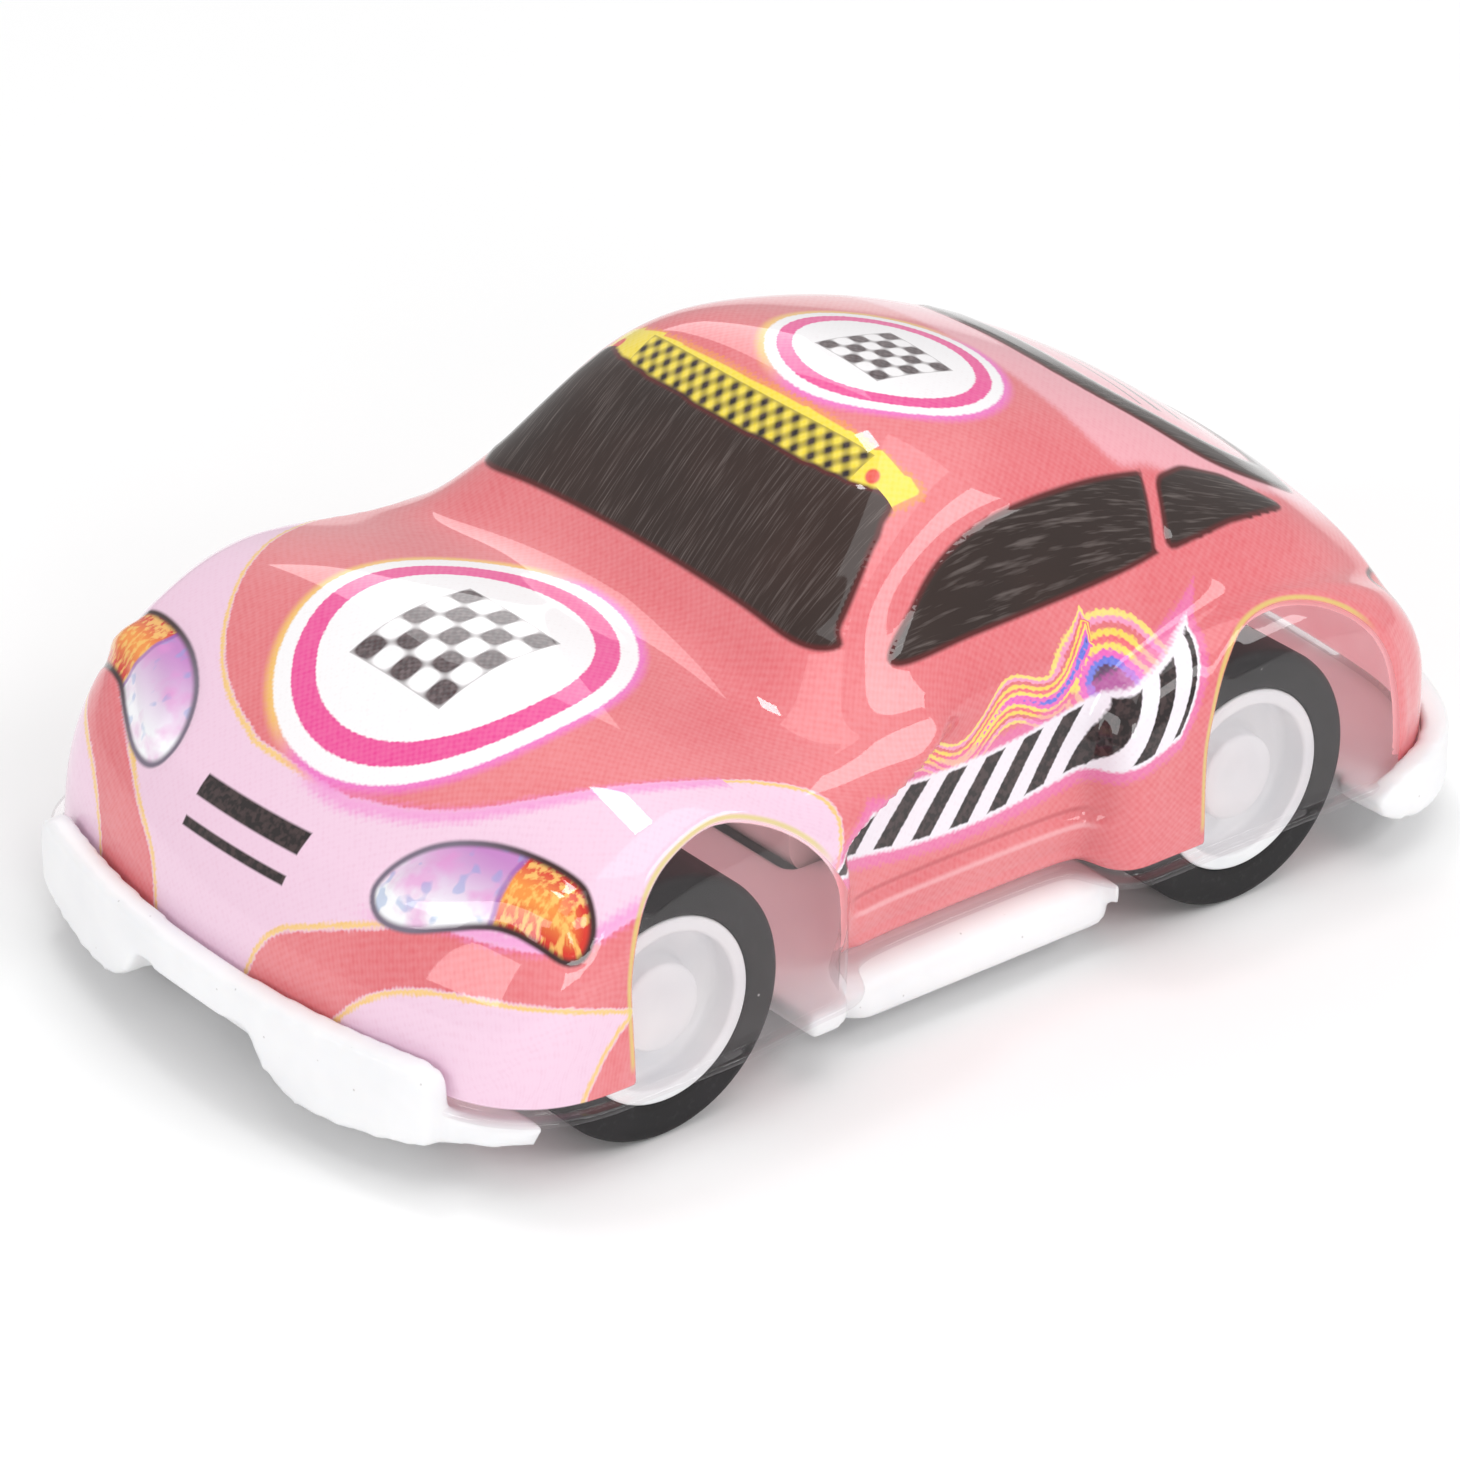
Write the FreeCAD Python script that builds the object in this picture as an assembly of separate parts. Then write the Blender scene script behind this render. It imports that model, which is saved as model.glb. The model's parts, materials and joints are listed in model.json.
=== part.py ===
"""Pull back car: thin clear shell on a moulded chassis, four wheels and a wind-up motor.

Units are millimetres.  The front of the car faces -Y, its left side is +X and +Z is up.
The shapes are drawn about the middle of the wheelbase and then shifted along Y, so that
the origin is on the ground under the middle of the overall length.
"""
import FreeCAD, Part
import math
import os

V = FreeCAD.Vector

# ---------------------------------------------------------------- driving dimensions
FRONT_AXLE_Y = -21.0
REAR_AXLE_Y = 21.2
AXLE_Z = 8.0
TYRE_R = 8.0
RIM_R = 5.75
WHEEL_OUT_X = 21.9
WHEEL_IN_X = 15.9
AXLE_R = 0.75
AXLE_HALF = 20.4
RUNNING_GAP = 0.05

WALL = 0.42
FLANGE_TOP = 5.15
FLANGE_BOTTOM = 4.7
FLANGE_WIDTH = 0.9

FLOOR_TOP = FLANGE_BOTTOM
FLOOR_BOTTOM = 3.3

MODULE = 0.5
PRESSURE = math.radians(25.0)
PINION_TEETH = 10
TRANSFER_TEETH = 20
TRANSFER_PINION_TEETH = 10
SPRING_TEETH = 26
SPRING_AXIS = (6.5, 12.4)

CASE_HALF = 9.0
CASE_WALL = 0.9
CASE_BOTTOM = 3.6
CASE_TOP = 20.8
CASE_FRONT = -2.0
CASE_REAR = 25.6

# ---------------------------------------------------------------- body surface
# Knots are (position, value, corner width): straight runs joined by soft corners.
CABIN_TOP = [(-40, -16, 0), (-13, 14.0, 6), (-5.8, 24.2, 2.5), (3.2, 34.8, 4.2), (10, 32.8, 7),
             (19, 30.8, 7), (28, 26.6, 7), (38, 17.0, 6), (46, 12, 0)]
CABIN_SIDE = [(3, 19.4, 0), (8, 23.2, 4), (13, 20.2, 4), (18.6, 21.6, 3.5), (22.4, 17.5, 3.0),
              (28, 17.8, 3), (34, 14.5, 0)]
HOOD_TOP = [(-60, -12, 0), (-36.5, 11.4, 4), (-31, 17.2, 5), (-21, 26.0, 7), (-6, 20.0, 7),
            (10, 21.5, 0)]
ROUND_POWER = 2.7


def ramp(t, width):
    return 0.5 * (t + math.sqrt(t * t + width * width))


def step(start, end, t):
    s = min(1.0, max(0.0, (t - start) / (end - start)))
    return s * s * s * (10 + s * (6 * s - 15))


def soft_line(knots, t):
    (x0, z0, _), (x1, z1, _) = knots[0], knots[1]
    value = z0 + (z1 - z0) / (x1 - x0) * (t - x0)
    for (xa, za, _), (xb, zb, width), (xc, zc, _) in zip(knots, knots[1:], knots[2:]):
        turn = (zc - zb) / (xc - xb) - (zb - za) / (xb - xa)
        value += turn * ramp(t - xb, width)
    return value


def soft_min(a, b, width):
    return a - ramp(a - b, width)


def round_max(a, b, radius):
    total = max(a + radius, 0.0) ** ROUND_POWER + max(b + radius, 0.0) ** ROUND_POWER
    return total ** (1 / ROUND_POWER) - radius


def body_field(x, y, z):
    """Below zero inside the car body, near the distance to its surface elsewhere."""
    x = abs(x)
    z = max(z, 4.0)
    cabin_w = soft_line(CABIN_SIDE, z) - 3.0 * step(10, 40, y) * step(17, 26, z) - 0.3
    cabin_ends = round_max(y - 40.3 + 0.004 * x * x + 0.06 * (z - 5), -30 - y, 3.0)
    cabin_plan = round_max(x - cabin_w, cabin_ends, 8.0)
    crown = 0.0115 * x * x * step(-10, 6, y)
    cabin = round_max(cabin_plan, (z - soft_line(CABIN_TOP, y) + crown) * 0.85, 6.0)

    fender_w = 23.5 - 0.03 * (z - 5) - 0.8 * step(-20, -8, y)
    nose = -35.8 + 0.008 * x * x + 0.1 * (z - 5) - y
    tail = y + 8.4 - 10 * step(13, 19, z)
    hood_plan = round_max(round_max(x - fender_w, nose, 6.0), tail, 2.4)
    hood = round_max(hood_plan, (z - soft_line(HOOD_TOP, y) + 0.0062 * x * x) * 0.95, 5.2)

    rear_plan = round_max(x - 22.7, y - 40.3 + 0.0075 * x * x, 6.2)
    rear_plan = round_max(rear_plan, 11.3 - y, 2.4)
    rear_fall = 0.035 * max(y - 25, 0.0) ** 2 + 0.012 * min(y - 25, 0.0) ** 2
    rear = round_max(rear_plan, z - 18.2 + rear_fall, 4.8)
    return soft_min(soft_min(cabin, hood, 2.0), rear, 1.2)


SPINE = (-22.0, 26.0)
SPINE_Z = -8.0


def cast(base, direction, level):
    low, high = 0.0, 70.0
    for _ in range(34):
        mid = (low + high) / 2
        p = base + direction * mid
        if body_field(p.x, p.y, p.z) < level:
            low = mid
        else:
            high = mid
    return base + direction * (low + high) / 2


def body_solid(level, rows, columns):
    """Closed solid whose skin is where body_field equals level, open ends far below the car."""
    grid = []
    for j in range(rows):
        v = 2.0 * j / (rows - 1) - 1
        base = V(0, (SPINE[0] + SPINE[1]) / 2 + (SPINE[1] - SPINE[0]) / 2 * v, SPINE_Z)
        lean = math.pi / 2 * math.copysign(abs(v) ** 1.25, v)
        row = []
        for i in range(columns):
            turn = math.pi / 2 * (2.0 * i / (columns - 1) - 1)
            direction = V(math.sin(turn), math.cos(turn) * math.sin(lean),
                          math.cos(turn) * math.cos(lean))
            row.append(cast(base, direction, level))
        grid.append(row)
    surface = Part.BSplineSurface()
    surface.interpolate(grid)
    skin = surface.toShape()
    rim = Part.Wire(Part.__sortEdges__(skin.Edges))
    floor = Part.Face(Part.Plane(V(0, 0, SPINE_Z), V(0, 0, 1)), rim)
    shell = Part.Shell([skin, floor])
    solid = Part.Solid(shell)
    if solid.Volume < 0:
        solid.reverse()
    return solid


def outline(level_z, offset, count=240):
    """Closed plan curve around the body at one height, moved outwards by offset."""
    points = []
    for k in range(count):
        a = 2 * math.pi * k / count
        base_y = (SPINE[0] + SPINE[1]) / 2 + (SPINE[1] - SPINE[0]) / 2 * math.sin(a)
        points.append(cast(V(0, base_y, level_z), V(math.cos(a), math.sin(a), 0), offset))
    curve = Part.BSplineCurve()
    curve.interpolate(points, PeriodicFlag=True)
    return Part.Wire([curve.toShape()])


def plan_plate(offset, z0, z1):
    wire = outline(FLANGE_TOP, offset)
    face = Part.Face(wire)
    face.translate(V(0, 0, z0 - FLANGE_TOP))
    return face.extrude(V(0, 0, z1 - z0))


# ---------------------------------------------------------------- helpers
def box(x0, x1, y0, y1, z0, z1):
    return Part.makeBox(x1 - x0, y1 - y0, z1 - z0, V(x0, y0, z0))


def rod(radius, x0, x1, y, z):
    return Part.makeCylinder(radius, x1 - x0, V(x0, y, z), V(1, 0, 0))


def fuse(shapes):
    return shapes[0].multiFuse(shapes[1:]).removeSplitter()


def rounded(shape, radius, keep):
    """Fillet the edges of shape for which keep(edge) is true."""
    edges = [e for e in shape.Edges if keep(e)]
    return shape.makeFillet(radius, edges) if edges else shape


def along(edge, axis):
    a = edge.Vertexes[0].Point
    b = edge.Vertexes[-1].Point
    d = b - a
    return d.Length > 1e-6 and abs(d.dot(axis)) > 0.999 * d.Length


def mirrored(shape):
    return shape.mirror(V(0, 0, 0), V(1, 0, 0))


def gear(teeth, phase, x0, x1, y, z, bore):
    """Spur gear about X with involute flanks, short teeth and some backlash."""
    pitch_r = MODULE * teeth / 2
    base_r = pitch_r * math.cos(PRESSURE)
    tip_r = pitch_r + 0.8 * MODULE
    root_r = pitch_r - 1.1 * MODULE
    backlash = 0.06
    half = math.pi / (2 * teeth) - backlash / (2 * pitch_r)
    inv = math.tan(PRESSURE) - PRESSURE
    flank = []
    for k in range(6):
        r = max(root_r, base_r) + (tip_r - max(root_r, base_r)) * k / 5
        roll = math.acos(min(1.0, base_r / r))
        flank.append((r, half + inv - (math.tan(roll) - roll)))
    if root_r < base_r:
        flank.insert(0, (root_r, flank[0][1]))
    points = []
    for n in range(teeth):
        centre = phase + 2 * math.pi * n / teeth
        side = [(r, centre - a) for r, a in flank] + [(r, centre + a) for r, a in reversed(flank)]
        points += [V(x0, y + r * math.cos(a), z + r * math.sin(a)) for r, a in side]
    wire = Part.makePolygon(points + points[:1])
    body = Part.Face(wire).extrude(V(x1 - x0, 0, 0))
    return body.cut(rod(bore, x0 - 1, x1 + 1, y, z)) if bore else body


def revolve(profile, y, z):
    """Turn a closed (x, radius) outline about the X line through (y, z)."""
    points = [V(x, y + r, z) for x, r in profile]
    face = Part.Face(Part.makePolygon(points + points[:1]))
    return face.revolve(V(0, y, z), V(1, 0, 0), 360)


nodes = {}

# ---------------------------------------------------------------- shell
outer = body_solid(0.0, 73, 49)
inner = body_solid(-WALL, 73, 49)
above = outer.common(box(-40, 40, -60, 60, FLANGE_TOP, 60))
flange = plan_plate(FLANGE_WIDTH, FLANGE_BOTTOM, FLANGE_TOP)
nodes["body_shell"] = above.fuse(flange).cut(inner)

# ---------------------------------------------------------------- motor layout
def mesh_point(a, b, ra, rb):
    """The upper point at distance ra from a and rb from b."""
    dy, dz = b[0] - a[0], b[1] - a[1]
    d = math.hypot(dy, dz)
    t = (ra * ra - rb * rb + d * d) / (2 * d)
    h = math.sqrt(ra * ra - t * t)
    uy, uz = dy / d, dz / d
    side = 1 if uy < 0 else -1
    return a[0] + t * uy + side * h * uz, a[1] + t * uz - side * h * uy


def heading(a, b):
    return math.atan2(b[1] - a[1], b[0] - a[0])


axle = (REAR_AXLE_Y, AXLE_Z)
spring = SPRING_AXIS
transfer = mesh_point(axle, spring, MODULE * (PINION_TEETH + TRANSFER_TEETH) / 2,
                      MODULE * (TRANSFER_PINION_TEETH + SPRING_TEETH) / 2)
PIN_R = 0.6
ARBOR_R = 1.5

nodes["axle_pinion"] = gear(PINION_TEETH, heading(axle, transfer), 4.2, 7.4, *axle, AXLE_R)
gear_half = gear(TRANSFER_TEETH, heading(transfer, axle) + math.pi / TRANSFER_TEETH,
                 4.6, 6.8, *transfer, 0)
pinion_half = gear(TRANSFER_PINION_TEETH, heading(transfer, spring), 1.9, 4.6, *transfer, 0)
nodes["transfer_gear"] = gear_half.fuse(pinion_half).cut(
    rod(PIN_R + RUNNING_GAP, 0, 9, *transfer))
nodes["transfer_pin"] = rod(PIN_R, -CASE_HALF, CASE_HALF, *transfer)
nodes["spring_gear"] = gear(SPRING_TEETH, heading(spring, transfer) + math.pi / SPRING_TEETH,
                            2.2, 4.2, *spring, ARBOR_R)
nodes["spring_arbor"] = fuse([rod(ARBOR_R, -7.2, 7.2, *spring),
                              rod(0.9, -CASE_HALF, CASE_HALF, *spring)])

# Flat strip wound into a spiral between the arbor and the wall of its chamber.
STRIP = 0.16
TURNS = 8.5
SPRING_IN = ARBOR_R + 0.12
SPRING_OUT = 6.6


def spiral(offset):
    points = []
    count = int(TURNS * 16)
    for k in range(count + 1):
        a = 2 * math.pi * TURNS * k / count
        r = SPRING_IN + offset + (SPRING_OUT - STRIP - SPRING_IN) * k / count
        points.append(V(-6.4, spring[0] + r * math.cos(a), spring[1] + r * math.sin(a)))
    curve = Part.BSplineCurve()
    curve.interpolate(points)
    return curve.toShape(), points


near, near_points = spiral(0.0)
far, far_points = spiral(STRIP)
strip_wire = Part.Wire([near, Part.makeLine(near_points[-1], far_points[-1]), far,
                        Part.makeLine(far_points[0], near_points[0])])
nodes["mainspring"] = Part.Face(strip_wire).extrude(V(7.6, 0, 0))


def case_half(sign):
    """One half of the motor case, open at the split plane x = 0."""
    def block(inset):
        x1 = CASE_HALF - inset
        body = box(0, x1, CASE_FRONT + inset, CASE_REAR - inset, CASE_BOTTOM + inset,
                   CASE_TOP - inset)
        slope = Part.Face(Part.makePolygon([
            V(-1, CASE_REAR - inset + 0.01, 13.2 - inset), V(-1, CASE_REAR + 1, 13.2 - inset),
            V(-1, CASE_REAR + 1, CASE_TOP + 1), V(-1, 17.4 - inset, CASE_TOP + 1),
            V(-1, 17.4 - inset, CASE_TOP - inset + 0.01), V(-1, CASE_REAR - inset + 0.01,
                                                            13.2 - inset)]))
        body = body.cut(slope.extrude(V(20, 0, 0)))
        return rounded(body, 2.4 - inset, lambda e: along(e, V(1, 0, 0)))

    half = block(0.0).cut(block(CASE_WALL).fuse(box(-1, 0.5, CASE_FRONT + CASE_WALL,
                                                    CASE_REAR - CASE_WALL,
                                                    CASE_BOTTOM + CASE_WALL, 12)))
    half = half.cut(rod(AXLE_R + RUNNING_GAP, 0, 10, *axle))
    half = half.cut(rod(0.9 + RUNNING_GAP, 0, 10, *spring))
    half = half.cut(rod(PIN_R, 0, 10, *transfer))
    for y in (CASE_FRONT + 2.4, 12.6):
        lug = box(CASE_HALF, CASE_HALF + 1.4, y, y + 3.4, 5.0, 6.4)
        half = half.fuse(lug)
    half = half.removeSplitter()
    return half if sign > 0 else mirrored(half)


nodes["motor_case_left"] = case_half(1)
nodes["motor_case_right"] = case_half(-1)

# ---------------------------------------------------------------- axles, wheels and tyres
nodes["front_axle"] = rod(AXLE_R, -AXLE_HALF, AXLE_HALF, FRONT_AXLE_Y, AXLE_Z)
nodes["rear_axle"] = rod(AXLE_R, -AXLE_HALF, AXLE_HALF, REAR_AXLE_Y, AXLE_Z)

RIM_PROFILE = [
    (WHEEL_IN_X - 0.2, RIM_R - 0.1), (WHEEL_OUT_X - 0.1, RIM_R - 0.1), (WHEEL_OUT_X + 0.1, RIM_R - 0.3),
    (WHEEL_OUT_X + 0.1, RIM_R - 0.9), (WHEEL_OUT_X - 0.2, RIM_R - 1.15), (20.3, RIM_R - 1.45),
    (20.1, RIM_R - 1.7), (20.1, 2.5), (20.4, 2.2), (21.4, 2.0), (21.6, 1.8), (21.6, 0),
    (AXLE_HALF, 0), (AXLE_HALF, AXLE_R), (15.5, AXLE_R), (15.5, 1.9), (18.7, 2.1), (18.7, RIM_R - 1.2),
    (WHEEL_IN_X - 0.2, RIM_R - 1.0)]
TYRE_PROFILE = [
    (WHEEL_IN_X, RIM_R - 0.1), (WHEEL_IN_X, TYRE_R - 0.7), (WHEEL_IN_X + 0.2, TYRE_R - 0.25),
    (WHEEL_IN_X + 0.65, TYRE_R), (WHEEL_OUT_X - 0.65, TYRE_R), (WHEEL_OUT_X - 0.2, TYRE_R - 0.25),
    (WHEEL_OUT_X, TYRE_R - 0.7), (WHEEL_OUT_X, RIM_R + 0.25), (WHEEL_OUT_X - 0.15, RIM_R - 0.1)]
for end, y in (("front", FRONT_AXLE_Y), ("rear", REAR_AXLE_Y)):
    wheel = revolve(RIM_PROFILE, y, AXLE_Z)
    tyre = revolve(TYRE_PROFILE, y, AXLE_Z)
    nodes["wheel_%s_left" % end] = wheel
    nodes["wheel_%s_right" % end] = mirrored(wheel)
    nodes["tyre_%s_left" % end] = tyre
    nodes["tyre_%s_right" % end] = mirrored(tyre)

# ---------------------------------------------------------------- chassis
WELL_IN = 15.0
floor = plan_plate(0.2, FLOOR_BOTTOM, FLOOR_TOP)
for side in (-1, 1):
    for y in (FRONT_AXLE_Y, REAR_AXLE_Y):
        x0, x1 = sorted((side * WELL_IN, side * 40))
        floor = floor.cut(box(x0, x1, y - 9.4, y + 9.2, 0, 10))

def prism(outline_points, place, way):
    """Solid with the given closed outline; place turns an outline pair into a vector."""
    points = [place(a, b) for a, b in outline_points]
    return Part.Face(Part.makePolygon(points + points[:1])).extrude(way)


# Bumpers: a lip over the flange, a wall round its edge and a pad under it.
LIP_OUT = 1.9
lip = plan_plate(LIP_OUT, 1.5, 8.5).cut(plan_plate(0.12, 1.0, 9.0))
lip = lip.cut(plan_plate(FLANGE_WIDTH + 0.06, FLANGE_BOTTOM, FLANGE_TOP + 0.03))
pad = plan_plate(0.7, 1.5, FLOOR_TOP).cut(plan_plate(-2.0, 1.0, 9.0))
LOBE = [(4.4, 7.6), (5.0, 5.4), (5.4, 5.0), (6.0, 4.1), (6.6, 3.3), (7.4, 2.7), (8.4, 2.25),
        (9.6, 2.0), (12.5, 2.0), (15.5, 2.35), (18.0, 2.8), (18.8, 3.1), (18.8, 6.2), (18.6, 6.9),
        (18.1, 7.4), (17.3, 7.65)]
TAB = [(5.4, 4.7), (6.6, 3.3), (8.4, 2.25), (9.6, 2.0), (12.5, 2.0), (18.0, 2.8), (21.2, 3.2),
       (22.2, 3.5), (22.8, 4.0), (22.9, 4.7)]
BRIDGE = [(-5.6, 5.1), (5.6, 5.1), (5.6, 7.6), (-5.6, 7.6)]
REAR_LOBE = [(29.6, 4.5), (30.2, 3.5), (31.4, 2.9), (33.5, 2.5), (50, 2.4), (50, 6.4), (36, 6.4),
             (33.5, 6.1), (31.4, 5.5), (30.2, 5.0)]
bumpers = [lip.common(prism(BRIDGE, lambda x, z: V(x, -45, z), V(0, 12, 0)))]
for side in (-1, 1):
    for stock, shape in ((lip, LOBE), (pad, TAB)):
        bumpers.append(stock.common(prism(shape, lambda x, z: V(side * x, -45, z), V(0, 15, 0))))
    x0, x1 = sorted((side * 9.5, side * 40))
    for stock in (lip, pad):
        bumpers.append(stock.common(prism(REAR_LOBE, lambda y, z: V(x0, y, z), V(x1 - x0, 0, 0))))

skirts = []
for side in (-1, 1):
    x0, x1 = sorted((side * 15.5, side * 21.8))
    skirt = box(x0, x1, -8.2, 12.4, 2.0, FLOOR_TOP)
    skirt = rounded(skirt, 2.4, lambda e: along(e, V(0, 0, 1)) and abs(e.CenterOfMass.x) > 20)
    skirt = rounded(skirt, 1.9, lambda e: e.BoundBox.ZMin > FLOOR_TOP - 0.1
                    and abs(e.CenterOfMass.x) > 20)
    skirts.append(skirt)

posts = []
for side in (-1, 1):
    x0, x1 = sorted((side * 12.2, side * 14.4))
    post = box(x0, x1, FRONT_AXLE_Y - 2.6, FRONT_AXLE_Y + 2.6, FLOOR_BOTTOM, AXLE_Z + 2.4)
    post = rounded(post, 1.6, lambda e: along(e, V(1, 0, 0)) and e.BoundBox.ZMin > AXLE_Z)
    x0, x1 = sorted((side * 12.9, side * 13.7))
    web = box(x0, x1, FRONT_AXLE_Y - 6.5, FRONT_AXLE_Y + 6.5, FLOOR_BOTTOM, 6.4)
    posts += [post, web]
ribs = [box(-12.4, 12.4, y, y + 1.0, FLOOR_BOTTOM, 6.2) for y in (-30.0, -12.0)]

# The motor drops into a window in the floor; four hooked walls hold its side lugs.
window = box(-CASE_HALF - 0.15, CASE_HALF + 0.15, CASE_FRONT - 0.15, CASE_REAR + 0.15, 0, 10)
walls = []
for side in (-1, 1):
    for y in (CASE_FRONT + 2.4, 12.6):
        x0, x1 = sorted((side * (CASE_HALF + 1.5), side * (CASE_HALF + 2.7)))
        wall = box(x0, x1, y - 0.6, y + 4.0, FLOOR_BOTTOM, 7.6)
        x0, x1 = sorted((side * (CASE_HALF + 0.5), side * (CASE_HALF + 2.7)))
        hook = box(x0, x1, y - 0.6, y + 4.0, 6.45, 7.6)
        walls += [wall, hook]
chassis = fuse([floor] + bumpers + skirts + posts + ribs).cut(window)
chassis = fuse([chassis] + walls)
chassis = chassis.cut(rod(AXLE_R + RUNNING_GAP, -20, 20, FRONT_AXLE_Y, AXLE_Z))
nodes["chassis"] = chassis

# ---------------------------------------------------------------- write the parts
boxes = {name: shape.optimalBoundingBox(False) for name, shape in nodes.items()}
MIDDLE_Y = (min(b.YMin for b in boxes.values()) + max(b.YMax for b in boxes.values())) / 2
print("middle of the length, y =", round(MIDDLE_Y, 4))
os.makedirs("parts", exist_ok=True)
for name, shape in nodes.items():
    shape.translate(V(0, -MIDDLE_Y, 0))
    print(name, len(shape.Solids), "valid", shape.isValid(), boxes[name], round(shape.Volume, 2))
    shape.exportStep("parts/%s.step" % name)
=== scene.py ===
"""Pull back car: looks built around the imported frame.

Lengths in the shape code are millimetres about the middle of the wheelbase, with the front
towards -Y, the car's left side towards +X and +Z up.  MM and shift_y turn them into the
frame's metres.
"""
import json
import math

import bpy
import numpy as np
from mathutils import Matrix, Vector

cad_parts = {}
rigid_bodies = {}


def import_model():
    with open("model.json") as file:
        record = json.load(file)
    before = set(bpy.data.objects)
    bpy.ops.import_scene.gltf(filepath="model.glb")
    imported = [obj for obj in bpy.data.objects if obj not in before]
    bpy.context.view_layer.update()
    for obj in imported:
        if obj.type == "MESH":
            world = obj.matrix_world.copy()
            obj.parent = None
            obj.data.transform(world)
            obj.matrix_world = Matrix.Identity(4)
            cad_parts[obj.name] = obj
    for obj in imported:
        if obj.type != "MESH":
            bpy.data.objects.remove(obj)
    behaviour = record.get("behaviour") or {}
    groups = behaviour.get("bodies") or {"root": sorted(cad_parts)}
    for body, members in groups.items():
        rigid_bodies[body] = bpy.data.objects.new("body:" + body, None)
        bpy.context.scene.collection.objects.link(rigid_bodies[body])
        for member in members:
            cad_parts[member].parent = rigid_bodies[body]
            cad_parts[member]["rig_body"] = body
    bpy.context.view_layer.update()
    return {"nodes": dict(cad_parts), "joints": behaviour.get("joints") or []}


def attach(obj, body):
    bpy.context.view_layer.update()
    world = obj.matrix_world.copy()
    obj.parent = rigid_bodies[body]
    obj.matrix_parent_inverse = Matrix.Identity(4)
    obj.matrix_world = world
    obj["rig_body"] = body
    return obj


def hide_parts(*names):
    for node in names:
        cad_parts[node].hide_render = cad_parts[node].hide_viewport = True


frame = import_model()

MM = 0.001
REAR_AXLE_Y = 21.2
FRONT_AXLE_Y = -21.0
AXLE_Z = 8.0
joint_at = {j["name"]: j["pos_m"] for j in frame["joints"]}
shift_y = joint_at["rear_axle_spin"][1] / MM - REAR_AXLE_Y


def place(points):
    """Millimetre points about the wheelbase to metres in the frame."""
    return (np.asarray(points, float) + np.array([0.0, shift_y, 0.0])) * MM


# ---------------------------------------------------------------- body surface
FLANGE_TOP = 5.15
FLANGE_BOTTOM = 4.7
FLANGE_WIDTH = 0.9
WALL = 0.42
CABIN_TOP = [(-40, -16, 0), (-13, 14.0, 6), (-5.8, 24.2, 2.5), (3.2, 34.8, 4.2), (10, 32.8, 7),
             (19, 30.8, 7), (28, 26.6, 7), (38, 17.0, 6), (46, 12, 0)]
CABIN_SIDE = [(3, 19.4, 0), (8, 23.2, 4), (13, 20.2, 4), (18.6, 21.6, 3.5), (22.4, 17.5, 3.0),
              (28, 17.8, 3), (34, 14.5, 0)]
HOOD_TOP = [(-60, -12, 0), (-36.5, 11.4, 4), (-31, 17.2, 5), (-21, 26.0, 7), (-6, 20.0, 7),
            (10, 21.5, 0)]
ROUND_POWER = 2.7
SPINE = (-22.0, 26.0)


def ramp(t, width):
    """Zero well below 0 and t well above it, with a soft corner of this width."""
    return 0.5 * (t + np.sqrt(t * t + width * width))


def step(start, end, t):
    """Smooth rise from 0 at start to 1 at end."""
    s = np.clip((t - start) / (end - start), 0, 1)
    return s * s * s * (10 + s * (6 * s - 15))


def soft_line(knots, t):
    """Straight runs through (position, value, corner width) knots, joined by soft corners."""
    (x0, z0, _), (x1, z1, _) = knots[0], knots[1]
    value = z0 + (z1 - z0) / (x1 - x0) * (t - x0)
    for (xa, za, _), (xb, zb, width), (xc, zc, _) in zip(knots, knots[1:], knots[2:]):
        turn = (zc - zb) / (xc - xb) - (zb - za) / (xb - xa)
        value = value + turn * ramp(t - xb, width)
    return value


def soft_min(a, b, width):
    """Smaller of two distances, blended over width where they meet."""
    return a - ramp(a - b, width)


def round_max(a, b, radius):
    """Larger of two distances, with the edge between them rounded to about radius."""
    total = np.maximum(a + radius, 0) ** ROUND_POWER + np.maximum(b + radius, 0) ** ROUND_POWER
    return total ** (1 / ROUND_POWER) - radius


def body_field(x, y, z):
    """Below zero inside the car body, near the distance to its surface elsewhere."""
    x = np.abs(x)
    z = np.maximum(z, 4.0)
    cabin_w = soft_line(CABIN_SIDE, z) - 3.0 * step(10, 40, y) * step(17, 26, z) - 0.3
    cabin_ends = round_max(y - 40.3 + 0.004 * x * x + 0.06 * (z - 5), -30 - y, 3.0)
    cabin_plan = round_max(x - cabin_w, cabin_ends, 8.0)
    crown = 0.0115 * x * x * step(-10, 6, y)
    cabin = round_max(cabin_plan, (z - soft_line(CABIN_TOP, y) + crown) * 0.85, 6.0)

    fender_w = 23.5 - 0.03 * (z - 5) - 0.8 * step(-20, -8, y)
    nose = -35.8 + 0.008 * x * x + 0.1 * (z - 5) - y
    tail = y + 8.4 - 10 * step(13, 19, z)
    hood_plan = round_max(round_max(x - fender_w, nose, 6.0), tail, 2.4)
    hood = round_max(hood_plan, (z - soft_line(HOOD_TOP, y) + 0.0062 * x * x) * 0.95, 5.2)

    rear_plan = round_max(x - 22.7, y - 40.3 + 0.0075 * x * x, 6.2)
    rear_plan = round_max(rear_plan, 11.3 - y, 2.4)
    rear_fall = 0.035 * np.maximum(y - 25, 0) ** 2 + 0.012 * np.minimum(y - 25, 0) ** 2
    rear = round_max(rear_plan, z - 18.2 + rear_fall, 4.8)
    return soft_min(soft_min(cabin, hood, 2.0), rear, 1.2)


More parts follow.
